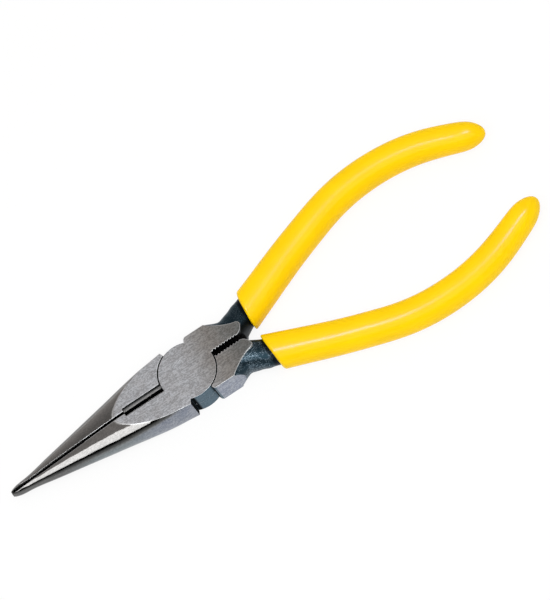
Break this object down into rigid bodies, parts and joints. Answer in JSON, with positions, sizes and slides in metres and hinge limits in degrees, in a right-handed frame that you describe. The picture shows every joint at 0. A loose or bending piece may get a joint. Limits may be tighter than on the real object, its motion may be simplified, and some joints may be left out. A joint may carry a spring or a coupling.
{
  "type": "needle nose pliers",
  "caption": "Needle nose pliers with a lapped pivot joint, toothed tapering jaws, side cutter and dipped plastic handle grips.",
  "frame": {"origin": "pivot axis on the plane of the head's back face, on which the pliers lie", "axes": "+X from the pivot to the tip of the nose, +Z along the pivot axis up out of the front face, +Y to the side of the back grip"},
  "size_m": [0.1596, 0.0522, 0.009],
  "materials": {
    "forged_steel": "forged steel, head flats ground and brushed lengthwise, dark oxide left in the notches and necks",
    "rivet_steel": "steel rivet ground flush with the joint discs",
    "dipped_grip": "smooth semi-gloss yellow dipped vinyl"
  },
  "bodies": {
    "back": {"back_half": "forged_steel", "back_grip": "dipped_grip"},
    "front": {"front_half": "forged_steel", "pivot_rivet": "rivet_steel", "front_grip": "dipped_grip"}
  },
  "joints": [
    {"name": "pivot", "type": "hinge", "parent": "back", "child": "front", "pos_m": [0, 0, 0.0045], "axis": [0, 0, 1], "range_deg": [0, 45]}
  ]
}
